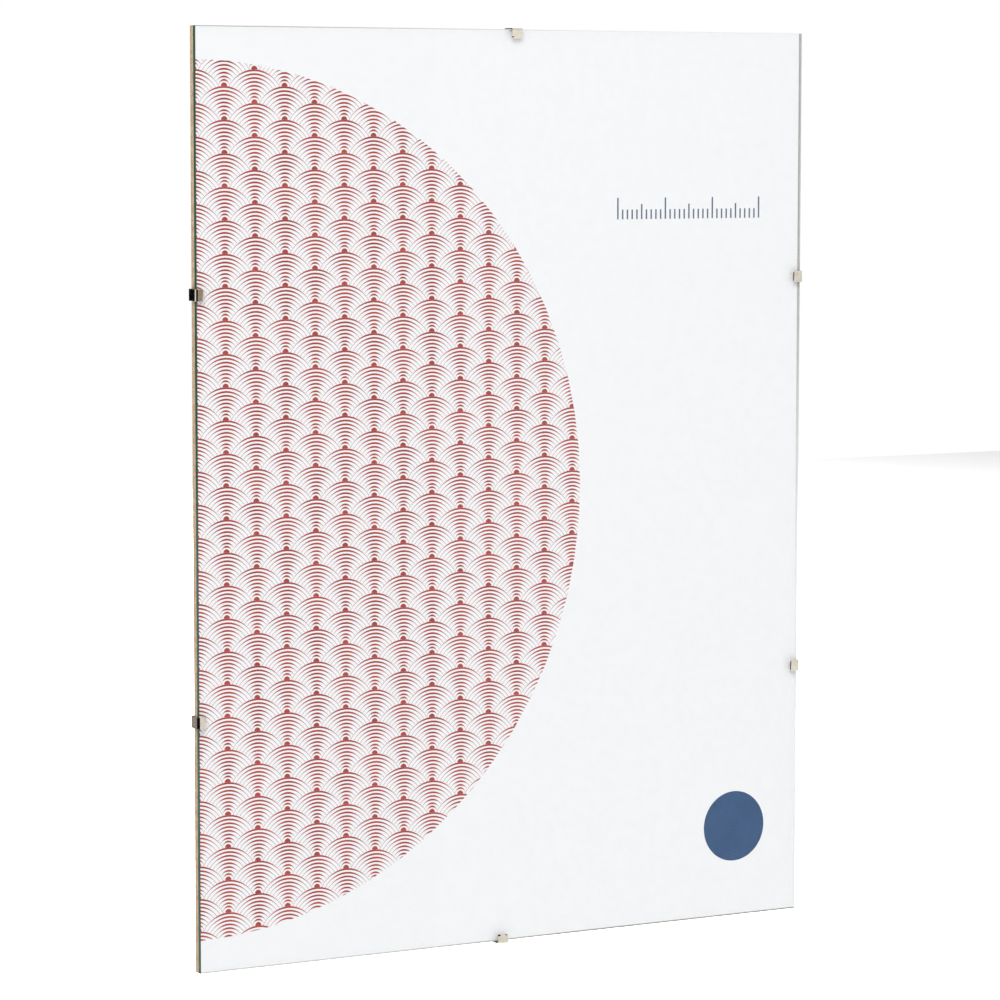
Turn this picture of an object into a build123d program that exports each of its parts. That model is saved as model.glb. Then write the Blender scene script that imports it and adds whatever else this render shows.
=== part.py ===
from build123d import *

import os
from math import radians, tan

# A clip frame for a 30 x 40 cm picture: a pane of glass and a hardboard back of the same size with the
# printed sheet between them, held together at the edges by six bent spring clips. Each clip laps over the
# glass with a short lip and reaches round to the back, where its hooked arm drops into a sawn kerf.
# The frame stands upright with its front facing -Y. All lengths are in millimetres.

# Picture size
frame_wide = 300.0
frame_high = 400.0

# Glass pane, with its sharp edges taken off
glass_thick = 2.0
glass_arris = 0.3

# Printed sheet, cut a little smaller than the glass and loose by a hair between glass and board
sheet_thick = 0.2
sheet_inset = 0.2
sheet_play = 0.03

# Hardboard back
board_thick = 2.5

# Kerfs plunged into the back of the board by a small circular saw
kerf_inset = 18.0
kerf_spare_depth = 0.45
kerf_side_room = 0.85
saw_radius = 45.0

# Spring clips, bent from one narrow strip of steel
strip_thick = 0.4
strip_wide = 5.1
strip_end_corner = 1.1
lip_reach = 3.7
lip_gap = 0.02
lip_stand_off = 1.2
web_gap = 0.5
rear_gap = 0.95
front_bend = 0.5
rear_bend = 0.5
bow_high = 2.0
bow_inset = 7.0
bow_bend = 16.0
arm_end_gap = 0.25
hook_bend = 0.4
hook_deep = 1.2

# Hangers: a folded strap, riveted to the board, that holds a wire ring in its eye
hanger_inset = 45.0
strap_sheet = 0.7
strap_wide = 10.0
strap_long = 11.5
strap_end_corner = 4.0
strap_fold_gap = 0.06
strap_neck_bend = 1.0
strap_neck_angle = 38.0
wire_radius = 0.8
wire_sides = 16
eye_fit = 0.08
ring_side_room = 0.4
ring_long = 18.5
ring_shoulder_bend = 1.2
ring_end_bend = 5.0
ring_joint_gap = 0.3

# Rivets: a thin head let into the front of the board, and a rolled rim on the strap
rivet_inset = 6.2
rivet_radius = 1.75
rivet_hole_room = 0.05
rivet_head_radius = 3.6
rivet_head_thick = 0.5
rivet_head_sunk = 0.1
rivet_rim_radius = 2.9
rivet_rim_high = 0.8
rivet_rim_bevel = 0.35
rivet_bore_radius = 1.1
rivet_bore_deep = 2.4

# How far every cutting tool runs past what it cuts
overrun = 1.0

# Sums that several pieces share
sheet_front = glass_thick + sheet_play
board_front = sheet_front + sheet_thick + sheet_play
stack_thick = board_front + board_thick
kerf_deep = hook_deep + kerf_spare_depth
kerf_wide = strip_thick + 2 * kerf_side_room
strap_stack = 2 * strap_sheet + strap_fold_gap
eye_radius = wire_radius + eye_fit
eye_high = strap_sheet + eye_radius
ring_half_wide = strap_wide / 2 + ring_side_room + wire_radius

back = Vector(0, 1, 0)
outward = {
    "top": Vector(0, 0, 1),
    "bottom": Vector(0, 0, -1),
    "left": Vector(-1, 0, 0),
    "right": Vector(1, 0, 0),
}

# For each clip: its edge, the place of its kerf as a share of that edge's length (from the left, or from
# the bottom), how far along the kerf it was pushed in, as a share of half the kerf, and how far out of the
# picture it sits, as a share of the kerf's side room
clip_shares = {
    "clip_top": ("top", 0.5, 0.22, -0.41),
    "clip_bottom": ("bottom", 0.5, -0.325, 0.41),
    "clip_left_upper": ("left", 0.725, -0.17, 0.0),
    "clip_left_lower": ("left", 0.275, -0.2, 0.24),
    "clip_right_upper": ("right", 0.725, 0.045, -0.53),
    "clip_right_lower": ("right", 0.275, 0.23, -0.47),
}

hanger_edges = {"portrait": "top", "landscape": "right"}


def half_kerf():
    """Half the length that the round saw leaves at the surface when it is plunged to the kerf's depth."""
    return (saw_radius**2 - (saw_radius - kerf_deep) ** 2) ** 0.5


def edge_plane(edge, share=0.5, slip=0.0):
    """A plane on the front corner of one edge: X points out of the frame, Y to the back, Z along the edge."""
    out = outward[edge]
    upright = out.Z == 0
    along = Vector(0, 0, 1) if upright else Vector(1, 0, 0)
    run = frame_high if upright else frame_wide
    half_reach = frame_wide / 2 if upright else frame_high / 2
    middle = Vector(0, 0, frame_high / 2) + out * half_reach
    return Plane(middle + along * ((share - 0.5) * run + slip), x_dir=out, z_dir=out.cross(back))


def clip_plane(name):
    """Where a clip sits on its edge."""
    edge, kerf_share, slip_share, out_share = clip_shares[name]
    plane = edge_plane(edge, kerf_share, slip_share * half_kerf())
    out = plane.x_dir * out_share * kerf_side_room
    return Plane(plane.origin + out, x_dir=plane.x_dir, z_dir=plane.z_dir)


def hanger_plane(name):
    """Where a hanger sits: under its ring's pin, on the back of the board, with X towards its edge."""
    plane = edge_plane(hanger_edges[name])
    return Plane(
        plane.origin - plane.x_dir * hanger_inset + back * stack_thick,
        x_dir=plane.x_dir,
        z_dir=plane.z_dir,
    )


def glass_pane():
    """Float glass with a fine arris ground on every edge."""
    pane = Box(frame_wide, glass_thick, frame_high)
    pane = chamfer(pane.edges(), glass_arris)
    return Pos(0, glass_thick / 2, frame_high / 2) * pane


def insert_sheet():
    """The printed sheet, flat between the glass and the board."""
    sheet = Box(frame_wide - 2 * sheet_inset, sheet_thick, frame_high - 2 * sheet_inset)
    return Pos(0, sheet_front + sheet_thick / 2, frame_high / 2) * sheet


def kerf_cutter(edge, share):
    """The round saw, plunged into the back of the board beside one edge."""
    saw = Cylinder(saw_radius, kerf_wide, rotation=(0, 90, 0))
    return edge_plane(edge, share) * Pos(-kerf_inset, stack_thick - kerf_deep + saw_radius, 0) * saw


def rivet_hole():
    """The hole through the board, with the recess for the rivet's head at its front end."""
    hole = Cylinder(rivet_radius + rivet_hole_room, board_thick + 2 * overrun, rotation=(90, 0, 0))
    recess_deep = rivet_head_sunk + rivet_head_thick
    recess = Cylinder(rivet_head_radius + rivet_hole_room, recess_deep + overrun, rotation=(90, 0, 0))
    hole = Pos(0, -board_thick / 2, 0) * hole
    return hole + Pos(0, -board_thick + (recess_deep - overrun) / 2, 0) * recess


def back_board():
    """Hardboard cut to the size of the glass, with a kerf for each clip and a hole for each rivet."""
    board = Pos(0, board_front + board_thick / 2, frame_high / 2) * Box(frame_wide, board_thick, frame_high)
    for edge, kerf_share, *_ in clip_shares.values():
        board -= kerf_cutter(edge, kerf_share)
    for name in hanger_edges:
        board -= hanger_plane(name) * Pos(-rivet_inset, 0, 0) * rivet_hole()
    return board


def cropped_corners(wide, corner):
    """What a round-cornered crop takes off a strip's end. The end is at X = 0 and the strip runs to +X."""
    square = Pos((corner - overrun) / 2, 0) * Rectangle(corner + overrun, wide + 2 * overrun)
    rounded = Pos(2 * corner, 0) * RectangleRounded(4 * corner, wide, corner)
    sides = Pos(corner / 2, 0) * Rectangle(corner, wide)
    return square - (sides & rounded)


def spring_clip():
    """One clip in its edge's own frame: lip on the glass, web past the edge, bowed arm and hook."""
    half = strip_thick / 2
    lip_tip = (half - lip_reach, -lip_gap - half)
    front_corner = (web_gap + half, -lip_stand_off - half)
    rear_corner = (web_gap + half, stack_thick + rear_gap + half)
    bow = (-bow_inset, stack_thick + bow_high + half)
    hook_corner = (-kerf_inset, stack_thick + arm_end_gap + half)
    hook_tip = (-kerf_inset, stack_thick - hook_deep + half)
    bends = [front_bend + half, rear_bend + half, bow_bend, hook_bend + half]
    centreline = FilletPolyline(lip_tip, front_corner, rear_corner, bow, hook_corner, hook_tip, radius=bends)
    side_view = make_face(offset(centreline, amount=half, kind=Kind.ARC).edges())
    clip = extrude(side_view, strip_wide / 2, both=True)
    corners = cropped_corners(strip_wide, strip_end_corner)
    lip_end = Plane((-lip_reach, 0, 0), x_dir=(1, 0, 0), z_dir=(0, 1, 0))
    hook_end = Plane((-kerf_inset, stack_thick - hook_deep, 0), x_dir=(0, 1, 0), z_dir=(1, 0, 0))
    for end in (lip_end, hook_end):
        clip -= extrude(end * corners, strip_thick + overrun, both=True)
    return clip


def strap_centreline():
    """From the lower layer's end, round the ring's pin and back down on to the lower layer."""
    half = strap_sheet / 2
    bend = eye_radius + half
    upper = strap_sheet + strap_fold_gap + half
    lower_layer = Line((-strap_long, half), (0, half))
    eye = CenterArc((0, eye_high), bend, -90, 180 + strap_neck_angle)
    neck_top = eye @ 1
    neck_foot = (neck_top.X - (neck_top.Y - upper) / tan(radians(strap_neck_angle)), upper)
    upper_layer = FilletPolyline(neck_top, neck_foot, (-strap_long, upper), radius=strap_neck_bend + half)
    return lower_layer + eye + upper_layer


def hanger_strap():
    """The folded strap in its hanger's own frame, with a round end and a hole through both layers."""
    path = strap_centreline()
    section = Plane((-strap_long, strap_sheet / 2), x_dir=(0, 0, 1), z_dir=(1, 0, 0))
    section *= Rectangle(strap_wide, strap_sheet)
    strap = sweep(section, path=path)
    end = Plane((-strap_long, 0, 0), x_dir=(1, 0, 0), z_dir=(0, 1, 0))
    strap -= extrude(end * cropped_corners(strap_wide, strap_end_corner), strap_stack + overrun, both=True)
    hole = Cylinder(rivet_radius + rivet_hole_room, 2 * (strap_stack + overrun), rotation=(90, 0, 0))
    return strap - Pos(-rivet_inset, 0, 0) * hole


def hanger_ring():
    """A wire ring folded down over its strap: a straight pin in the eye, two legs and a round end.

    The wire's section is a many-sided polygon, close to round, which keeps the faces of its bends few.
    """
    split = ring_joint_gap / 2
    corners = [
        (0, split),
        (0, ring_half_wide),
        (wire_radius - ring_long, ring_half_wide),
        (wire_radius - ring_long, -ring_half_wide),
        (0, -ring_half_wide),
        (0, -split),
    ]
    bends = [ring_shoulder_bend, ring_end_bend, ring_end_bend, ring_shoulder_bend]
    path = FilletPolyline(*[(x, eye_high, z) for x, z in corners], radius=bends)
    section = Plane(path @ 0, z_dir=path % 0) * RegularPolygon(wire_radius, wire_sides)
    return sweep(section, path=path)


def hanger_rivet():
    """The rivet in its hanger's own frame: sunk head, shank, and the rim that was rolled over the strap."""
    head_front = rivet_head_sunk - board_thick
    head_back = head_front + rivet_head_thick
    rim_top = strap_stack + rivet_rim_high
    outline = Polyline(
        (0, head_front),
        (rivet_head_radius, head_front),
        (rivet_head_radius, head_back),
        (rivet_radius, head_back),
        (rivet_radius, strap_stack),
        (rivet_rim_radius, strap_stack),
        (rivet_rim_radius, rim_top),
        (rivet_bore_radius, rim_top),
        (rivet_bore_radius, rim_top - rivet_bore_deep),
        (0, rim_top - rivet_bore_deep),
        close=True,
    )
    half_section = make_face(outline)
    rim_corners = half_section.vertices().group_by(Axis.Y)[-1]
    half_section = chamfer(rim_corners, rivet_rim_bevel)
    return Pos(-rivet_inset, 0, 0) * revolve(half_section, Axis.Y)


def all_parts():
    """Every piece in its place, with the glass's front at Y = 0 and its lower edge at Z = 0."""
    parts = {
        "glass_pane": glass_pane(),
        "insert_sheet": insert_sheet(),
        "back_board": back_board(),
    }
    clip = spring_clip()
    for name in clip_shares:
        parts[name] = clip_plane(name) * clip
    hanger = {"strap": hanger_strap(), "ring": hanger_ring(), "rivet": hanger_rivet()}
    for name in hanger_edges:
        for piece, shape in hanger.items():
            parts[f"hanger_{piece}_{name}"] = hanger_plane(name) * shape
    return parts


def to_origin(parts):
    """The move that puts the origin under the middle of the whole frame, at the height of its lowest point."""
    box = Compound(list(parts.values())).bounding_box()
    middle = box.center()
    return Pos(-middle.X, -middle.Y, -box.min.Z)


def main():
    os.makedirs("parts", exist_ok=True)
    parts = all_parts()
    move = to_origin(parts)
    for name, shape in parts.items():
        export_step(move * shape, f"parts/{name}.step")


if __name__ == "__main__":
    main()
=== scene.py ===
from math import acos, asin, cos, pi, radians, sin, sqrt

import bmesh
import bpy
from mathutils import Matrix, Vector


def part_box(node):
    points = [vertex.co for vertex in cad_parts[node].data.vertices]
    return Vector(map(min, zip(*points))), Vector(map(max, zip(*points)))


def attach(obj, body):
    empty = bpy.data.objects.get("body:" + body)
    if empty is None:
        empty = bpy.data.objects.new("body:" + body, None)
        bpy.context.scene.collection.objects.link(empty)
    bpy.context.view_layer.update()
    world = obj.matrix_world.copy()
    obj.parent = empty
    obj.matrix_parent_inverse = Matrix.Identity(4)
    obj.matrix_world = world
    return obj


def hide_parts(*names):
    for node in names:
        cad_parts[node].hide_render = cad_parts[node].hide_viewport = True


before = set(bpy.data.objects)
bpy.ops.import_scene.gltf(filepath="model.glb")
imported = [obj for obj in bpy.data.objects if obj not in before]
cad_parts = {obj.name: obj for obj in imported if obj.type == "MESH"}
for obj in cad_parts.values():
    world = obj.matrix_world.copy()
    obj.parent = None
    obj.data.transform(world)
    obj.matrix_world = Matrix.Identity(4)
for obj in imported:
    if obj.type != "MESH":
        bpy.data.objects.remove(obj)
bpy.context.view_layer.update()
mm = 0.001


# Back board
# Wood fibre pressed to a thin brown sheet and sawn to the size of the glass, with a short sawn kerf near
# its edge for each clip's hook. Its back is smooth and mottled, and its sawn edges are pale and furry.

def put(tree, kind, inputs=None, **settings):
    """Adds one node with its settings, and sets each named input to a value or joins it to a socket."""
    node = tree.nodes.new(kind)
    for name, value in settings.items():
        setattr(node, name, value)
    for name, value in (inputs or {}).items():
        if isinstance(value, bpy.types.NodeSocket):
            tree.links.new(value, node.inputs[name])
        else:
            node.inputs[name].default_value = value
    return node


def new_finish(name):
    """An empty material, its node tree, and the piece's own coordinates for its patterns."""
    finish = bpy.data.materials.new(name)
    finish.use_nodes = True
    finish.node_tree.nodes.clear()
    tree = finish.node_tree
    return finish, tree, put(tree, "ShaderNodeTexCoord").outputs["Object"]


def sum_of(tree, operation, first, second=0.0, clamp=False):
    """One sum on two values."""
    inputs = {0: first, 1: second}
    return put(tree, "ShaderNodeMath", inputs, operation=operation, use_clamp=clamp).outputs[0]


def sum_over(tree, operation, values):
    """The same sum taken along a list of values."""
    total = values[0]
    for value in values[1:]:
        total = sum_of(tree, operation, total, value)
    return total


def parts_of(tree, vector):
    """A vector's X, Y and Z."""
    return put(tree, "ShaderNodeSeparateXYZ", {0: vector}).outputs


def vector_of(tree, **parts):
    """A vector made of the parts that are given, and zeros."""
    return put(tree, "ShaderNodeCombineXYZ", parts).outputs[0]


def step_up(tree, value, low, high, bottom=0.0, top=1.0):
    """Rises smoothly from bottom to top while value goes from low to high."""
    inputs = {"Value": value, "From Min": low, "From Max": high, "To Min": bottom, "To Max": top}
    return put(tree, "ShaderNodeMapRange", inputs, interpolation_type="SMOOTHSTEP").outputs[0]


def two_colours(tree, share, first, second):
    """The first colour, turning into the second as share goes from 0 to 1."""
    return put(tree, "ShaderNodeMix", {0: share, 6: first, 7: second}, data_type="RGBA").outputs[2]


def speckle(tree, place, size, stretch=(1, 1, 1), turn=(0, 0, 0), detail=2.0):
    """Soft random grain of about the given size, drawn out along the axes by stretch."""
    scale = [1 / (size * s) for s in stretch]
    spread = put(tree, "ShaderNodeMapping", {"Vector": place, "Rotation": turn}).outputs[0]
    spread = put(tree, "ShaderNodeMapping", {"Vector": spread, "Scale": scale}).outputs[0]
    noise = {"Vector": spread, "Scale": 1.0, "Detail": detail}
    return put(tree, "ShaderNodeTexNoise", noise).outputs["Fac"]


def bumps(tree, height, deep):
    """A surface that rises and falls by up to deep."""
    return put(tree, "ShaderNodeBump", {"Height": height, "Distance": deep, "Strength": 1.0}).outputs[0]


def surface(tree, inputs):
    """The plain surface shader, straight to the material's output."""
    shader = put(tree, "ShaderNodeBsdfPrincipled", inputs).outputs[0]
    put(tree, "ShaderNodeOutputMaterial", {"Surface": shader})


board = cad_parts["back_board"]
board_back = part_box("back_board")[1].y
board_brown = (0.225, 0.128, 0.064, 1)
board_dark = (0.165, 0.090, 0.044, 1)
board_straw = (0.360, 0.225, 0.120, 1)
board_speck = (0.070, 0.036, 0.018, 1)
sawn_tan = (0.560, 0.400, 0.250, 1)
sawn_shade = (0.360, 0.250, 0.150, 1)
mottle_size = 3.5 * mm
fibre_thick = 0.28 * mm
fibre_length_share = 9
fibre_turns = (0.3, 0.9, 1.35, 2.0, 2.6)
speck_size = 0.7 * mm
saw_line_size = 0.22 * mm
saw_patch_size = 3 * mm
board_relief = 0.03 * mm

hardboard, tree, place = new_finish("hardboard")
mottle = speckle(tree, place, mottle_size, (1.6, 1, 1), detail=6)
brown = two_colours(tree, step_up(tree, mottle, 0.30, 0.70), board_brown, board_dark)
fibres = 0.0
for turn in fibre_turns:
    strands = speckle(tree, place, fibre_thick, (fibre_length_share, 1, 1), (0, turn, 0), 1)
    fibres = sum_of(tree, "MAXIMUM", fibres, step_up(tree, strands, 0.60, 0.72))
brown = two_colours(tree, sum_of(tree, "MULTIPLY", fibres, 0.65), brown, board_straw)
specks = step_up(tree, speckle(tree, place, speck_size, detail=3), 0.64, 0.70)
brown = two_colours(tree, sum_of(tree, "MULTIPLY", specks, 0.7), brown, board_speck)
saw_lines = speckle(tree, place, saw_line_size, (1, 9, 1), detail=3)
saw_lines = sum_of(tree, "MULTIPLY", saw_lines, 0.6)
saw_patches = sum_of(tree, "MULTIPLY", speckle(tree, place, saw_patch_size, detail=3), 0.4)
fur = sum_of(tree, "ADD", saw_lines, saw_patches)
tan = two_colours(tree, step_up(tree, fur, 0.38, 0.62), sawn_tan, sawn_shade)
facing = parts_of(tree, put(tree, "ShaderNodeNewGeometry").outputs["Normal"])["Y"]
pressed_face = step_up(tree, facing, 0.90, 0.95)
skin = two_colours(tree, pressed_face, tan, brown)
pressed_height = sum_of(tree, "ADD", mottle, fibres)
height = put(tree, "ShaderNodeMix", {0: pressed_face, 2: fur, 3: pressed_height}).outputs[0]
sheen = step_up(tree, mottle, 0.3, 0.7, 0.42, 0.60)
roughness = put(tree, "ShaderNodeMix", {0: pressed_face, 2: 0.95, 3: sheen}).outputs[0]
relief = bumps(tree, height, board_relief)
surface(tree, {"Base Color": skin, "Roughness": roughness, "Normal": relief})
board.material_slots[0].material = hardboard


# Printed sheet
# Smooth white paper, cut a little smaller than the glass, that lies loose between glass and board. It is
# printed in red with scallops in a half round on the left, and in blue with a scale and a round mark.

paper_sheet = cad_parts["insert_sheet"]
sheet_low, sheet_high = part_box("insert_sheet")
paper_white = (0.813, 0.813, 0.829, 1)
paper_shade = (0.796, 0.798, 0.816, 1)
print_height = 0.012 * mm
scallop_red = (0.440, 0.070, 0.056, 1)
scallop_dark = (0.250, 0.035, 0.030, 1)
deep_blue = (0.030, 0.078, 0.180, 1)
deep_blue_thin = (0.045, 0.105, 0.225, 1)
slate_blue = (0.085, 0.125, 0.190, 1)
slate_blue_thin = (0.120, 0.165, 0.235, 1)

paper, tree, place = new_finish("paper")
cloud = speckle(tree, place, 2.5 * mm, detail=5)
white = two_colours(tree, step_up(tree, cloud, 0.35, 0.65), paper_white, paper_shade)
grain = speckle(tree, place, 0.12 * mm, (2, 1, 1), detail=2)
relief = bumps(tree, grain, 0.004 * mm)
surface(tree, {"Base Color": white, "Roughness": 0.55, "Specular IOR Level": 0.3, "Normal": relief})
paper_sheet.material_slots[0].material = paper


def new_ink(name, colour, thin_colour):
    """Printing ink on paper, a little uneven."""
    ink, tree, place = new_finish(name)
    uneven = step_up(tree, speckle(tree, place, 0.35 * mm, detail=4), 0.45, 0.75)
    wide = step_up(tree, speckle(tree, place, 14 * mm, detail=2), 0.35, 0.65)
    wide = sum_of(tree, "MULTIPLY", wide, 0.35)
    share = sum_of(tree, "ADD", sum_of(tree, "MULTIPLY", uneven, 0.45), wide, clamp=True)
    shade = two_colours(tree, share, colour, thin_colour)
    surface(tree, {"Base Color": shade, "Roughness": 0.45, "Specular IOR Level": 0.4})
    return ink


red_ink = new_ink("red_ink", scallop_red, scallop_dark)
blue_ink = new_ink("blue_ink", deep_blue, deep_blue_thin)
slate_ink = new_ink("slate_ink", slate_blue, slate_blue_thin)


def new_shape_tree(name, inputs):
    """An empty geometry tree with named inputs, and its input and output nodes."""
    tree = bpy.data.node_groups.new(name, "GeometryNodeTree")
    tree.interface.new_socket("Start", in_out="INPUT", socket_type="NodeSocketGeometry")
    for input_name, kind in inputs.items():
        tree.interface.new_socket(input_name, in_out="INPUT", socket_type=f"NodeSocket{kind}")
    tree.interface.new_socket("Piece", in_out="OUTPUT", socket_type="NodeSocketGeometry")
    return tree, tree.nodes.new("NodeGroupInput").outputs


def end_tree(tree, geometry, finish):
    """Makes instances real, gives them their material and joins them to the tree's output."""
    real = put(tree, "GeometryNodeRealizeInstances", {"Geometry": geometry}).outputs[0]
    real = put(tree, "GeometryNodeSetShadeSmooth", {"Geometry": real}).outputs[0]
    dressed = put(tree, "GeometryNodeSetMaterial", {"Geometry": real, "Material": finish}).outputs[0]
    tree.links.new(dressed, tree.nodes.new("NodeGroupOutput").inputs[0])


def finished(piece, edge_round=0.0):
    """Rounds a piece's edges, keeps its flat faces flat to the light, and makes it a plain mesh."""
    if edge_round:
        rounding = piece.modifiers.new("rounded edges", "BEVEL")
        rounding.width = edge_round
        rounding.segments = 2
        rounding.limit_method = "ANGLE"
        rounding.angle_limit = radians(50)
        piece.modifiers.new("even faces", "WEIGHTED_NORMAL").weight = 100
    evaluated = piece.evaluated_get(bpy.context.evaluated_depsgraph_get())
    mesh = bpy.data.meshes.new_from_object(evaluated)
    piece.modifiers.clear()
    piece.data = mesh
    mesh.name = piece.name
    return piece


def grow(name, tree, sizes, start=None, edge_round=0.0):
    """Runs a geometry tree with these input sizes and returns its result as a plain mesh object."""
    piece = bpy.data.objects.new(name, start or bpy.data.meshes.new(name + "_start"))
    bpy.context.collection.objects.link(piece)
    modifier = piece.modifiers.new(name, "NODES")
    modifier.node_group = tree
    for socket in tree.interface.items_tree:
        if socket.in_out == "INPUT" and socket.name in sizes:
            modifier[socket.identifier] = sizes[socket.name]
    return finished(piece, edge_round)


scallop_radius = 14 * mm
scallop_line = 0.82 * mm
hub_share = 0.105
ring_shares = [0.97, 0.855, 0.74, 0.625, 0.51, 0.395, 0.28, 0.18]
upright_turn = (pi / 2, 0, 0)


def open_angle(share):
    """How far round from its top a ring shows, before the scallops below cover it."""
    lean = (share + 0.25 / share) / sqrt(5)
    covered = asin(min(lean, 1)) + asin(1 / sqrt(5)) if lean < 1 else pi
    return min(covered, acos(-share / 2))


tree, sizes = new_shape_tree(
    "scallop_print",
    {"Radius": "Float", "Line": "Float", "Across": "Int", "Up": "Int", "Reach": "Float"},
)
radius = sizes["Radius"]
lines = put(tree, "GeometryNodeJoinGeometry")
for number, share in enumerate(ring_shares):
    half_sweep = open_angle(share)
    arc = put(
        tree,
        "GeometryNodeCurveArc",
        {
            "Resolution": 13 - number // 2,
            "Radius": sum_of(tree, "MULTIPLY", radius, share),
            "Start Angle": pi / 2 - half_sweep,
            "Sweep Angle": 2 * half_sweep,
        },
    ).outputs[0]
    half_line = sum_of(tree, "MULTIPLY", sizes["Line"], 0.5)
    ends = {
        "Start": vector_of(tree, X=sum_of(tree, "MULTIPLY", half_line, -1)),
        "End": vector_of(tree, X=half_line),
    }
    flat = put(tree, "GeometryNodeCurvePrimitiveLine", ends).outputs[0]
    middle = put(tree, "GeometryNodeSplineParameter").outputs["Factor"]
    off_middle = sum_of(tree, "ABSOLUTE", sum_of(tree, "SUBTRACT", middle, 0.5))
    taper = step_up(tree, off_middle, 0.04, 0.42, 1.0, 0.18)
    ribbon = {"Curve": arc, "Profile Curve": flat, "Scale": taper}
    tree.links.new(put(tree, "GeometryNodeCurveToMesh", ribbon).outputs[0], lines.inputs[0])
hub_arc = put(
    tree,
    "GeometryNodeCurveArc",
    {
        "Resolution": 9,
        "Radius": sum_of(tree, "MULTIPLY", radius, hub_share),
        "Start Angle": pi / 2 - open_angle(hub_share),
        "Sweep Angle": 2 * open_angle(hub_share),
        "Connect Center": True,
    },
).outputs[0]
hub = put(tree, "GeometryNodeFillCurve", {"Curve": hub_arc}, mode="NGONS").outputs[0]
tree.links.new(hub, lines.inputs[0])
cell_wide = sum_of(tree, "MULTIPLY", radius, 2)
cell_high = sum_of(tree, "MULTIPLY", radius, 0.5)
grid = put(
    tree,
    "GeometryNodeMeshGrid",
    {
        "Size X": sum_of(tree, "MULTIPLY", cell_wide, sum_of(tree, "SUBTRACT", sizes["Across"], 1)),
        "Size Y": sum_of(tree, "MULTIPLY", cell_high, sum_of(tree, "SUBTRACT", sizes["Up"], 1)),
        "Vertices X": sizes["Across"],
        "Vertices Y": sizes["Up"],
    },
).outputs[0]
spot = put(tree, "GeometryNodeInputPosition").outputs[0]
row = sum_of(tree, "ROUND", sum_of(tree, "DIVIDE", parts_of(tree, spot)["Y"], cell_high))
odd_row = sum_of(tree, "FLOORED_MODULO", row, 2)
shift = vector_of(tree, X=sum_of(tree, "MULTIPLY", odd_row, radius))
grid = put(tree, "GeometryNodeSetPosition", {"Geometry": grid, "Offset": shift}).outputs[0]
spot = put(tree, "GeometryNodeInputPosition").outputs[0]
away = put(tree, "ShaderNodeVectorMath", {0: spot}, operation="LENGTH").outputs["Value"]
too_far = sum_of(tree, "GREATER_THAN", away, sum_of(tree, "ADD", sizes["Reach"], radius))
grid = put(tree, "GeometryNodeDeleteGeometry", {"Geometry": grid, "Selection": too_far}).outputs[0]
placed = {"Points": grid, "Instance": lines.outputs[0]}
placed = put(tree, "GeometryNodeInstanceOnPoints", placed).outputs[0]
upright = put(tree, "GeometryNodeTransform", {"Geometry": placed, "Rotation": upright_turn}).outputs[0]
end_tree(tree, upright, red_ink)

half_round_radius = 186 * mm
half_round_middle = Vector((sheet_low.x, sheet_low.y - print_height, (sheet_low.z + sheet_high.z) / 2))
across = 2 * round(half_round_radius / scallop_radius / 2) + 5
up = 4 * round(half_round_radius / scallop_radius) + 9
scallops = grow(
    "print_scallops",
    tree,
    {
        "Radius": scallop_radius,
        "Line": scallop_line,
        "Across": across,
        "Up": up,
        "Reach": half_round_radius,
    },
)


def cut(mesh_edit, point, outward, cells=None):
    """Takes off whatever lies on the outward side of a plane."""
    geometry = cells or [*mesh_edit.verts, *mesh_edit.edges, *mesh_edit.faces]
    plane = {"plane_co": point, "plane_no": outward, "dist": 1e-7}
    bmesh.ops.bisect_plane(mesh_edit, geom=geometry, clear_outer=True, **plane)


scallops.data.transform(Matrix.Translation(half_round_middle))
edit = bmesh.new()
edit.from_mesh(scallops.data)
cut(edit, sheet_low, Vector((-1, 0, 0)))
cut(edit, sheet_low, Vector((0, 0, -1)))
cut(edit, sheet_high, Vector((0, 0, 1)))

# The half round is cut with this many straight sides, each from the faces that lie before it.
sides = 36
for side in range(sides):
    lean = -pi / 2 + (side + 0.5) * pi / sides
    outward = Vector((cos(lean), 0, sin(lean)))
    near = []
    for face in edit.faces:
        from_middle = face.calc_center_median() - half_round_middle
        if from_middle.length > half_round_radius - scallop_radius:
            if from_middle.normalized().dot(outward) > cos(1.6 * pi / sides):
                near.append(face)
    cells = list(dict.fromkeys(part for face in near for part in (face, *face.edges, *face.verts)))
    if cells:
        cut(edit, half_round_middle + outward * half_round_radius, outward, cells)
edit.to_mesh(scallops.data)
edit.free()
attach(scallops, "frame")


tree, sizes = new_shape_tree("round_mark", {"Radius": "Float", "Corners": "Int"})
disc = {"Vertices": sizes["Corners"], "Radius": sizes["Radius"]}
disc = put(tree, "GeometryNodeMeshCircle", disc, fill_type="NGON").outputs[0]
upright = put(tree, "GeometryNodeTransform", {"Geometry": disc, "Rotation": upright_turn}).outputs[0]
end_tree(tree, upright, blue_ink)
mark_radius = 16.0 * mm
mark_middle = (118 * mm, sheet_low.y - print_height, 42 * mm)
mark = grow("print_round_mark", tree, {"Radius": mark_radius, "Corners": 96})
mark.data.transform(Matrix.Translation(mark_middle))
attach(mark, "frame")

# Every fifth tick of the printed scale is longer, and every tenth the longest.
scale_start = (55.5 * mm, sheet_low.y - print_height, 318.5 * mm)
scale_sizes = {"Ticks": 31, "Gap": 2.45 * mm, "Line": 0.75 * mm, "High": 9.5 * mm}

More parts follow.
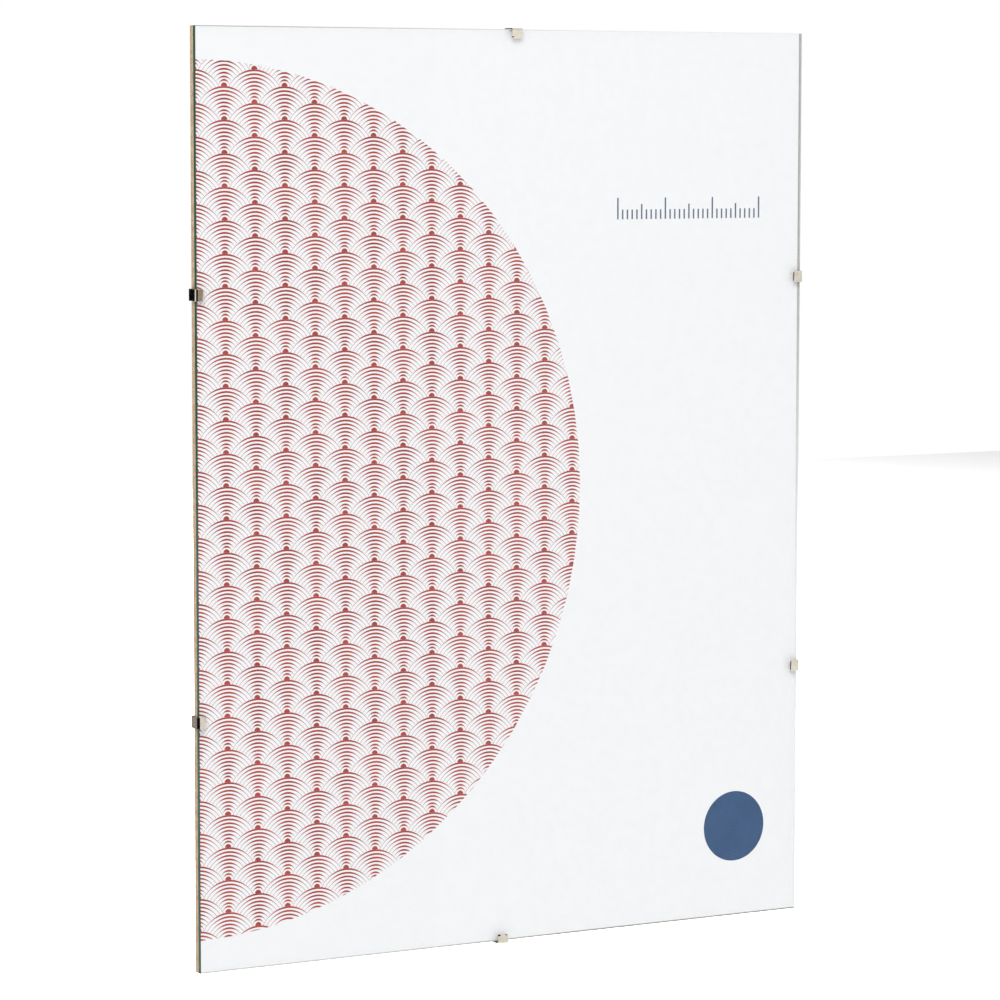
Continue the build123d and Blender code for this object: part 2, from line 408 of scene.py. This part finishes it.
kinds = {"Ticks": "Int", "Gap": "Float", "Line": "Float", "High": "Float"}
tree, sizes = new_shape_tree("tick_scale", kinds)
step = vector_of(tree, X=sizes["Gap"])
ticks = put(tree, "GeometryNodeMeshLine", {"Count": sizes["Ticks"], "Offset": step}).outputs[0]
number = put(tree, "GeometryNodeInputIndex").outputs[0]
fifth = sum_of(tree, "COMPARE", sum_of(tree, "MODULO", number, 5), 0)
tenth = sum_of(tree, "COMPARE", sum_of(tree, "MODULO", number, 10), 0)
more = [sum_of(tree, "MULTIPLY", fifth, 0.25), sum_of(tree, "MULTIPLY", tenth, 0.30)]
share = sum_over(tree, "ADD", [0.45, *more])
high = sum_of(tree, "MULTIPLY", share, sizes["High"])
tick = {"Size X": sizes["Line"], "Size Y": 1.0, "Vertices X": 2, "Vertices Y": 2}
tick = put(tree, "GeometryNodeMeshGrid", tick).outputs[0]
tick = put(tree, "GeometryNodeTransform", {"Geometry": tick, "Translation": (0, 0.5, 0)}).outputs[0]
row = {"Points": ticks, "Instance": tick, "Scale": vector_of(tree, X=1.0, Y=high, Z=1.0)}
row = put(tree, "GeometryNodeInstanceOnPoints", row).outputs[0]
upright = put(tree, "GeometryNodeTransform", {"Geometry": row, "Rotation": upright_turn}).outputs[0]
end_tree(tree, upright, slate_ink)
scale_marks = grow("print_scale", tree, scale_sizes)
scale_marks.data.transform(Matrix.Translation(scale_start))
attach(scale_marks, "frame")


# Glass pane
# Clear float glass with all its edges ground to a fine matt arris. It is all but colourless from the
# front, and dark green where the eye looks into its edge.

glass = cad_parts["glass_pane"]
glass_low, glass_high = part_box("glass_pane")
edge_green_dark = (0.010, 0.048, 0.032, 1)
edge_green_light = (0.040, 0.115, 0.085, 1)
edge_wave_size = 1.2 * mm
frost_size = 0.15 * mm
glass_ior = 1.52
weak_mirror_ior = 1.18


def two_shaders(tree, share, first, second):
    """The first shader, turning into the second as share goes from 0 to 1."""
    return put(tree, "ShaderNodeMixShader", {0: share, 1: first, 2: second}).outputs[0]


# The normal is turned outward again where the eye sees a face from inside the glass.
clear_glass, tree, place = new_finish("clear_glass")
geometry = put(tree, "ShaderNodeNewGeometry").outputs
outside = sum_of(tree, "SUBTRACT", 1.0, geometry["Backfacing"])
outward = {0: geometry["Normal"], "Scale": sum_of(tree, "SUBTRACT", outside, geometry["Backfacing"])}
outward = put(tree, "ShaderNodeVectorMath", outward, operation="SCALE").outputs[0]
normal = parts_of(tree, outward)
facing = sum_of(tree, "ABSOLUTE", normal["Y"])

# Each arris turns darker along its run, going counter-clockwise round the pane as seen from the front.
spot = parts_of(tree, place)
above_middle = sum_of(tree, "SUBTRACT", spot["Z"], (glass_low.z + glass_high.z) / 2)
up_run = sum_of(tree, "MULTIPLY", normal["X"], above_middle)
across_run = sum_of(tree, "MULTIPLY", normal["Z"], spot["X"])
dark_run_and_shade = step_up(tree, sum_of(tree, "SUBTRACT", up_run, across_run), -0.06, 0.10)
# Arrises that face down are darker still, a painted shade.
underside_shade = step_up(tree, normal["Z"], -0.3, -0.6, 0, 0.45)
dark_run_and_shade = sum_of(tree, "ADD", dark_run_and_shade, underside_shade, clamp=True)
left_side = step_up(tree, normal["X"], -0.3, -0.6)

# The pane's sides are dark green from outside, and mirror the paper from within.
edge_wave = speckle(tree, place, edge_wave_size, (1, 1, 6), detail=3)
edge_green = two_colours(tree, edge_wave, edge_green_dark, edge_green_light)
edge_side = {"Base Color": edge_green, "Roughness": 0.16, "IOR": glass_ior}
edge_side = put(tree, "ShaderNodeBsdfPrincipled", edge_side).outputs[0]
# The mirror within is tinted darker along the same run and where it faces down, a painted darkening of its
# reflection.
inner_colour = two_colours(tree, dark_run_and_shade, (0.97, 0.97, 0.97, 1), (0.60, 0.59, 0.56, 1))
inner_mirror = {"Color": inner_colour, "Roughness": 0.05}
inner_mirror = put(tree, "ShaderNodeBsdfGlossy", inner_mirror).outputs[0]
edge_side = two_shaders(tree, geometry["Backfacing"], edge_side, inner_mirror)

# The arrises are frosted and pale, and darker along each run and where they face down, which is painted
# shade.
frost = speckle(tree, place, frost_size, (1, 1, 4), detail=2)
frost_pale = two_colours(tree, frost, (0.70, 0.71, 0.71, 1), (0.78, 0.79, 0.79, 1))
frost_dark = two_colours(tree, frost, (0.28, 0.27, 0.25, 1), (0.38, 0.37, 0.35, 1))
frost_colour = two_colours(tree, dark_run_and_shade, frost_pale, frost_dark)
# The arrises on the left are painted the dark green of the sides, a painted shade that only that side gets.
frost_colour = two_colours(tree, left_side, frost_colour, edge_green)
edge_arris = {"Base Color": frost_colour, "Roughness": 0.50, "IOR": glass_ior}
edge_arris = put(tree, "ShaderNodeBsdfPrincipled", edge_arris).outputs[0]
edge = two_shaders(tree, step_up(tree, facing, 0.30, 0.35), edge_side, edge_arris)
ray = put(tree, "ShaderNodeLightPath").outputs
soft_ray = sum_of(tree, "MAXIMUM", ray["Is Shadow Ray"], ray["Is Diffuse Ray"])
lets_through = put(tree, "ShaderNodeBsdfTransparent", {"Color": (0.93, 0.95, 0.94, 1)}).outputs[0]
edge = two_shaders(tree, soft_ray, edge, lets_through)

# The faces are clear, with a weak mirror outside that doesn't veil the print.
see_through = {"Color": (0.990, 0.992, 0.991, 1)}
see_through = put(tree, "ShaderNodeBsdfTransparent", see_through).outputs[0]
shine = put(tree, "ShaderNodeBsdfGlossy", {"Color": (1, 1, 1, 1), "Roughness": 0.0}).outputs[0]
mirror_share = put(tree, "ShaderNodeFresnel", {"IOR": weak_mirror_ior}).outputs[0]
mirror_share = sum_of(tree, "MULTIPLY", mirror_share, outside)
pane_face = two_shaders(tree, mirror_share, see_through, shine)
whole = two_shaders(tree, step_up(tree, facing, 0.90, 0.95), edge, pane_face)
put(tree, "ShaderNodeOutputMaterial", {"Surface": whole})
glass.material_slots[0].material = clear_glass


# Spring clips
# A narrow strip of nickel-plated spring steel, cropped with round corners and bent to a lip, a web and a
# bowed arm with a hook. The lip presses on the glass, and the hook drops into its kerf in the board.

strip_thick = 0.4 * mm
strip_wide = 5.1 * mm
strip_end_corner = 1.1 * mm
strip_edge_round = 0.06 * mm
strip_step = 0.1 * mm
stack_thick = board_back - glass_low.y
lip_reach = 3.7 * mm
lip_gap = 0.02 * mm
lip_stand_off = 1.2 * mm
web_gap = 0.5 * mm
rear_gap = 0.95 * mm
bow_inset = 7.0 * mm
bow_high = 2.0 * mm
hook_inset = 18.0 * mm
arm_end_gap = 0.25 * mm
hook_deep = 1.2 * mm
nickel_bright = (0.850, 0.800, 0.690, 1)
nickel_dull = (0.770, 0.715, 0.605, 1)

# The middle of the strip's thickness: X out of the picture, Y to the back from the glass's front.
web_out = web_gap + strip_thick / 2
front_line = -strip_thick / 2
back_line = stack_thick + strip_thick / 2
clip_corners = [
    (strip_thick / 2 - lip_reach, front_line - lip_gap),
    (web_out, front_line - lip_stand_off),
    (web_out, back_line + rear_gap),
    (-bow_inset, back_line + bow_high),
    (-hook_inset, back_line + arm_end_gap),
    (-hook_inset, back_line - hook_deep),
]
clip_bends = [0, 0.7 * mm, 0.7 * mm, 16 * mm, 0.6 * mm, 0]

nickel, tree, place = new_finish("clip_nickel")
along = put(tree, "ShaderNodeAttribute", {}, attribute_name="strip_place").outputs["Vector"]
rolling = speckle(tree, along, 0.05 * mm, (60, 1, 1), detail=2)
patches = speckle(tree, place, 1.6 * mm, detail=4)
dull = step_up(tree, patches, 0.35, 0.70)
colour = two_colours(tree, dull, nickel_bright, nickel_dull)
rough = step_up(tree, rolling, 0.3, 0.7, 0.04, 0.09)
rough = sum_of(tree, "ADD", rough, sum_of(tree, "MULTIPLY", dull, 0.04))
relief = bumps(tree, sum_of(tree, "ADD", rolling, patches), 0.0003 * mm)
surface(tree, {"Base Color": colour, "Metallic": 1.0, "Roughness": rough, "Normal": relief})


def bent_line(name, corners, bends):
    """A start for a bent piece: its corner points as a chain of edges, each with its bend's radius."""
    line = bpy.data.meshes.new(name)
    line.from_pydata([(x, y, 0) for x, y in corners], [(n, n + 1) for n in range(len(corners) - 1)], [])
    line.attributes.new("bend", "FLOAT", "POINT").data.foreach_set("value", bends)
    return line


def bent_curve(tree, start, steps):
    """The start's chain as a curve with its bends rounded."""
    curve = put(tree, "GeometryNodeMeshToCurve", {"Mesh": start}).outputs[0]
    bend = put(tree, "GeometryNodeInputNamedAttribute", {"Name": "bend"}).outputs[0]
    inputs = {"Curve": curve, "Count": steps, "Radius": bend, "Limit Radius": False}
    rounded = put(tree, "GeometryNodeFilletCurve", inputs, mode="POLY").outputs[0]
    return put(tree, "GeometryNodeSetCurveNormal", {"Curve": rounded}, mode="Z_UP").outputs[0]


kinds = {"Thickness": "Float", "Width": "Float", "Step": "Float", "End corner": "Float", "Steps": "Int"}
strip_tree, sizes = new_shape_tree("bent_strip", kinds)
tree = strip_tree
curve = {"Curve": bent_curve(tree, sizes["Start"], sizes["Steps"]), "Length": sizes["Step"]}
curve = put(tree, "GeometryNodeResampleCurve", curve, mode="LENGTH").outputs[0]
run = put(tree, "GeometryNodeSplineParameter").outputs["Length"]
whole_run = put(tree, "GeometryNodeSplineLength").outputs["Length"]
end_gap = sum_of(tree, "MINIMUM", run, sum_of(tree, "SUBTRACT", whole_run, run))
for name, value in (("run", run), ("end_gap", end_gap)):
    kept_value = {"Geometry": curve, "Name": name, "Value": value}
    curve = put(tree, "GeometryNodeStoreNamedAttribute", kept_value).outputs[0]
section = {"Width": sizes["Thickness"], "Height": sizes["Width"]}
section = put(tree, "GeometryNodeCurvePrimitiveQuadrilateral", section).outputs[0]
strip = {"Curve": curve, "Profile Curve": section, "Fill Caps": True}
strip = put(tree, "GeometryNodeCurveToMesh", strip).outputs[0]

# Near its ends the strip narrows along a quarter circle, which rounds its corners.
left = put(tree, "GeometryNodeInputNamedAttribute", {"Name": "end_gap"}).outputs[0]
corner = sizes["End corner"]
short = sum_of(tree, "MAXIMUM", sum_of(tree, "SUBTRACT", corner, left), 0.0)
squares = [sum_of(tree, "POWER", side, 2) for side in (corner, short)]
kept = sum_of(tree, "SQRT", sum_over(tree, "SUBTRACT", squares))
half_wide = sum_of(tree, "MULTIPLY", sizes["Width"], 0.5)
half_there = sum_of(tree, "ADD", sum_of(tree, "SUBTRACT", half_wide, corner), kept)
squeeze = vector_of(tree, X=1.0, Y=1.0, Z=sum_of(tree, "DIVIDE", half_there, half_wide))
spot = put(tree, "GeometryNodeInputPosition").outputs[0]
spot = put(tree, "ShaderNodeVectorMath", {0: spot, 1: squeeze}, operation="MULTIPLY").outputs[0]
strip = put(tree, "GeometryNodeSetPosition", {"Geometry": strip, "Position": spot}).outputs[0]

# Each point keeps its place along and across the flat strip, for the rolling lines.
across = parts_of(tree, put(tree, "GeometryNodeInputPosition").outputs[0])["Z"]
run = put(tree, "GeometryNodeInputNamedAttribute", {"Name": "run"}).outputs[0]
kept_place = {"Geometry": strip, "Name": "strip_place", "Value": vector_of(tree, X=run, Y=across)}
kept_place = put(tree, "GeometryNodeStoreNamedAttribute", kept_place, data_type="FLOAT_VECTOR")
end_tree(tree, kept_place.outputs[0], nickel)

clips = {
    "clip_top": Vector((0, 0, 1)),
    "clip_bottom": Vector((0, 0, -1)),
    "clip_left_upper": Vector((-1, 0, 0)),
    "clip_left_lower": Vector((-1, 0, 0)),
    "clip_right_upper": Vector((1, 0, 0)),
    "clip_right_lower": Vector((1, 0, 0)),
}


def edge_matrix(node, out, reach, deep=0.0):
    """Where a piece goes that was made with X out of the picture, Y to the back and Z along its edge.

    Its outermost point lies at X = reach, and its Y = 0 lies this deep behind the glass's front.
    """
    low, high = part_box(node)
    middle = (low + high) / 2
    for axis in range(3):
        if out[axis]:
            middle[axis] = (high if out[axis] > 0 else low)[axis] - reach * out[axis]
    middle.y = glass_low.y + deep
    back = Vector((0, 1, 0))
    return Matrix.Translation(middle) @ Matrix((out, back, out.cross(back))).transposed().to_4x4()


strip_sizes = {
    "Thickness": strip_thick,
    "Width": strip_wide,
    "Step": strip_step,
    "End corner": strip_end_corner,
    "Steps": 10,
}
for node, out in clips.items():
    line = bent_line(node, clip_corners, clip_bends)
    clip = grow(node + "_strip", strip_tree, strip_sizes, line, strip_edge_round)
    clip.data.transform(edge_matrix(node, out, web_gap + strip_thick))
    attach(clip, node)
    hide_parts(node)


# Hangers
# A zinc-plated steel strap, folded round the straight pin of a wire ring and riveted to the board. One is
# at the top for an upright picture, and one on the right side for a wide one.

zinc_light = (0.74, 0.75, 0.76, 1)
zinc_dark = (0.50, 0.51, 0.53, 1)
wire_light = (0.78, 0.78, 0.78, 1)
wire_dark = (0.62, 0.62, 0.63, 1)
spangle_size = 1.1 * mm

zinc, tree, place = new_finish("hanger_zinc")
spangle = {"Vector": place, "Scale": 1 / spangle_size}
spangle = put(tree, "ShaderNodeTexVoronoi", spangle).outputs["Color"]
spangle = sum_of(tree, "MULTIPLY", parts_of(tree, spangle)["X"], 0.35)
cloud = speckle(tree, place, 0.8 * mm, detail=4)
share = sum_of(tree, "ADD", spangle, sum_of(tree, "MULTIPLY", cloud, 0.65))
colour = two_colours(tree, share, zinc_light, zinc_dark)
rough = step_up(tree, share, 0.2, 0.8, 0.26, 0.44)
relief = bumps(tree, cloud, 0.002 * mm)
surface(tree, {"Base Color": colour, "Metallic": 1.0, "Roughness": rough, "Normal": relief})

wire_zinc, tree, place = new_finish("wire_zinc")
drawn = speckle(tree, place, 0.6 * mm, detail=4)
colour = two_colours(tree, drawn, wire_light, wire_dark)
rough = step_up(tree, drawn, 0.3, 0.7, 0.16, 0.26)
relief = bumps(tree, drawn, 0.001 * mm)
surface(tree, {"Base Color": colour, "Metallic": 1.0, "Roughness": rough, "Normal": relief})


def rounded_copy(node, name, finish, width):
    """A CAD node's own shape with its sharp edges taken off, to stand for the node."""
    piece = bpy.data.objects.new(name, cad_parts[node].data.copy())
    bpy.context.collection.objects.link(piece)
    edit = bmesh.new()
    edit.from_mesh(piece.data)
    bmesh.ops.remove_doubles(edit, verts=edit.verts, dist=1e-6)
    bmesh.ops.dissolve_limit(edit, angle_limit=radians(1), verts=edit.verts, edges=edit.edges)
    edit.to_mesh(piece.data)
    edit.free()
    piece.data.materials.clear()
    piece.data.materials.append(finish)
    piece.data.shade_smooth()
    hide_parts(node)
    return finished(piece, width)


wire_radius = 0.8 * mm
ring_half_wide = 6.2 * mm
ring_long = 18.5 * mm
pin_high = 1.58 * mm
ring_split = 0.15 * mm
ring_corners = [
    (0, ring_split),
    (0, ring_half_wide),
    (wire_radius - ring_long, ring_half_wide),
    (wire_radius - ring_long, -ring_half_wide),
    (0, -ring_half_wide),
    (0, -ring_split),
]
shoulder_bend = 1.2 * mm
end_bend = 5.0 * mm
ring_bends = [0, shoulder_bend, end_bend, end_bend, shoulder_bend, 0]

ring_tree, sizes = new_shape_tree("wire_ring", {"Wire radius": "Float", "Steps": "Int"})
curve = bent_curve(ring_tree, sizes["Start"], sizes["Steps"])
section = {"Resolution": 24, "Radius": sizes["Wire radius"]}
section = put(ring_tree, "GeometryNodeCurvePrimitiveCircle", section).outputs[0]
wire = {"Curve": curve, "Profile Curve": section, "Fill Caps": True}
end_tree(ring_tree, put(ring_tree, "GeometryNodeCurveToMesh", wire).outputs[0], wire_zinc)

# Half of the rivet's section in mm: its distance from the axis, and its height above the board's back.
rivet_inset = 6.2 * mm
rivet_section = [
    (0.0, -2.40),
    (3.45, -2.40),
    (3.60, -2.25),
    (3.60, -1.95),
    (3.50, -1.90),
    (1.75, -1.90),
    (1.75, 1.46),
    (2.62, 1.46),
    (2.82, 1.56),
    (2.90, 1.78),
    (2.84, 2.02),
    (2.68, 2.18),
    (2.42, 2.26),
    (1.95, 2.25),
    (1.55, 2.14),
    (1.26, 1.92),
    (1.12, 1.60),
    (1.10, 1.20),
    (1.10, -0.08),
    (0.95, -0.14),
    (0.0, -0.14),
]

rivet_tree, sizes = new_shape_tree("turned_rivet", {"Turns": "Int"})
profile = put(rivet_tree, "GeometryNodeMeshToCurve", {"Mesh": sizes["Start"]}).outputs[0]
circle = {"Resolution": sizes["Turns"], "Radius": 0.0001 * mm}
circle = put(rivet_tree, "GeometryNodeCurvePrimitiveCircle", circle).outputs[0]
circle = put(rivet_tree, "GeometryNodeSetCurveNormal", {"Curve": circle}, mode="Z_UP").outputs[0]
turned = {"Curve": circle, "Profile Curve": profile}
turned = put(rivet_tree, "GeometryNodeCurveToMesh", turned).outputs[0]
turned = {"Geometry": turned, "Distance": 0.001 * mm}
turned = put(rivet_tree, "GeometryNodeMergeByDistance", turned).outputs[0]
end_tree(rivet_tree, turned, zinc)

hangers = {"portrait": Vector((0, 0, 1)), "landscape": Vector((1, 0, 0))}
eye_outside = 1.58 * mm
strap_edge_round = 0.12 * mm
wire_end_round = 0.10 * mm
lying = Matrix.Rotation(pi / 2, 4, "X")
for way, out in hangers.items():
    strap_node, ring_node, rivet_node = (f"hanger_{part}_{way}" for part in ("strap", "ring", "rivet"))
    on_board = edge_matrix(strap_node, out, eye_outside, stack_thick)

    strap = rounded_copy(strap_node, strap_node + "_plate", zinc, strap_edge_round)
    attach(strap, "frame")

    start = bent_line(ring_node, ring_corners, ring_bends)
    ring_sizes = {"Wire radius": wire_radius, "Steps": 12}
    ring = grow(ring_node + "_wire", ring_tree, ring_sizes, start, wire_end_round)
    ring.data.transform(on_board @ Matrix.Translation((0, pin_high, 0)) @ lying)
    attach(ring, f"ring_{way}")
    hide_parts(ring_node)

    section = [(x * mm, y * mm) for x, y in rivet_section]
    start = bent_line(rivet_node, section, [0] * len(section))
    rivet = grow(rivet_node + "_turned", rivet_tree, {"Turns": 48}, start)
    rivet.data.transform(on_board @ Matrix.Translation((-rivet_inset, 0, 0)) @ lying)
    edit = bmesh.new()
    edit.from_mesh(rivet.data)
    bmesh.ops.recalc_face_normals(edit, faces=edit.faces)
    edit.to_mesh(rivet.data)
    edit.free()
    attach(rivet, "frame")
    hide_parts(rivet_node)


# Studio
# A plain pale floor well below the hanging frame, an even white surround, a broad soft light from the upper
# left and another on what is behind, and dark cards that only shiny edges reflect. The camera stands where
# the photo's did.

def stand(name, middle, along, up, finish):
    """A flat rectangle round a point, spread by two half-side vectors."""
    middle, along, up = Vector(middle), Vector(along), Vector(up)
    corners = [middle - along - up, middle + along - up, middle + along + up, middle - along + up]
    mesh = bpy.data.meshes.new(name)
    mesh.from_pydata(corners, [], [(0, 1, 2, 3)])
    mesh.materials.append(finish)
    piece = bpy.data.objects.new(name, mesh)
    bpy.context.collection.objects.link(piece)
    return piece


floor_under = 0.30
pale, tree, place = new_finish("pale_floor")
cloud = speckle(tree, place, 0.3, detail=2)
cloud = two_colours(tree, cloud, (0.86, 0.86, 0.86, 1), (0.90, 0.90, 0.90, 1))
surface(tree, {"Base Color": cloud, "Roughness": 0.9, "Specular IOR Level": 0.1})
stand("floor", (0, 1.0, -floor_under), (4.0, 0, 0), (0, 4.0, 0), pale)


def card_finish(name, colour):
    """A plain matt card."""
    finish, tree, place = new_finish(name)
    card = put(tree, "ShaderNodeBsdfDiffuse", {"Color": colour}).outputs[0]
    put(tree, "ShaderNodeOutputMaterial", {"Surface": card})
    return finish


black = card_finish("black_card", (0.004, 0.004, 0.004, 1))
grey = card_finish("grey_card", (0.24, 0.225, 0.21, 1))
tan_card = card_finish("tan_card", (0.31, 0.255, 0.21, 1))
cards = [
    stand("card_behind_left_high", (-0.18, 0.56, 0.48), (0.33, 0, 0), (0, 0, 0.34), black),
    stand("card_behind_left_low", (-0.50, 0.57, -0.07), (0.14, 0, 0), (0, 0, 0.21), grey),
    stand("card_left_low", (-0.45, 0.12, -0.04), (0, -0.38, 0), (0, 0, 0.21), black),
    stand("card_left_front", (-0.228, -0.25, 0.20), (0.322, 0, 0), (0, 0, 0.30), black),
    stand("card_right_front", (0.85, -0.67, 0.37), (0.084, 0.125, 0), (0, 0, 0.25), tan_card),
]
for card in cards:
    card.visible_camera = False
    card.visible_diffuse = False
    card.visible_shadow = False
    card.visible_transmission = False

world = bpy.data.worlds.new("surround")
bpy.context.scene.world = world
world.use_nodes = True
world.node_tree.nodes.clear()
tree = world.node_tree
seen = put(tree, "ShaderNodeLightPath").outputs["Is Camera Ray"]
strength = {"Value": seen, "To Min": 0.80, "To Max": 1.0}
strength = put(tree, "ShaderNodeMapRange", strength).outputs[0]
glow = put(tree, "ShaderNodeBackground", {"Color": (1, 1, 1, 1), "Strength": strength}).outputs[0]
put(tree, "ShaderNodeOutputWorld", {"Surface": glow})


def soft_light(name, spot, aim, size, power, spread=180):
    """A square soft light that points at a spot, and that no shiny surface mirrors."""
    lamp = bpy.data.lights.new(name, "AREA")
    lamp.size = size
    lamp.energy = power
    lamp.spread = radians(spread)
    light = bpy.data.objects.new(name, lamp)
    light.location = spot
    light.rotation_euler = (Vector(aim) - Vector(spot)).to_track_quat("-Z", "Y").to_euler()
    light.visible_glossy = False
    light.visible_camera = False
    bpy.context.collection.objects.link(light)


soft_light("key", (-1.5, -2.4, 2.2), (0, 0, 0.2), 1.8, 59)
soft_light("background", (0.4, 3.4, 2.4), (0.4, 3.4, 0), 3.0, 260, 100)

# The camera's place is given from the middle of the glass's lower front edge.
eye_from_glass = Vector((-843.727, -1524.047, 361.552)) * mm
camera_pan = radians(-28.82)
camera_tilt = radians(84.551)
camera_roll = radians(0.063)
eye = Vector(((glass_low.x + glass_high.x) / 2, glass_low.y, glass_low.z)) + eye_from_glass
turn = Matrix.Rotation(camera_pan, 4, "Z") @ Matrix.Rotation(camera_tilt, 4, "X")
lens = bpy.data.cameras.new("camera")
lens.sensor_width = 36
lens.lens = 143.965
camera = bpy.data.objects.new("camera", lens)
camera.matrix_world = Matrix.Translation(eye) @ turn @ Matrix.Rotation(camera_roll, 4, "Z")
bpy.context.collection.objects.link(camera)
bpy.context.scene.camera = camera
bpy.context.scene.view_settings.view_transform = "Standard"
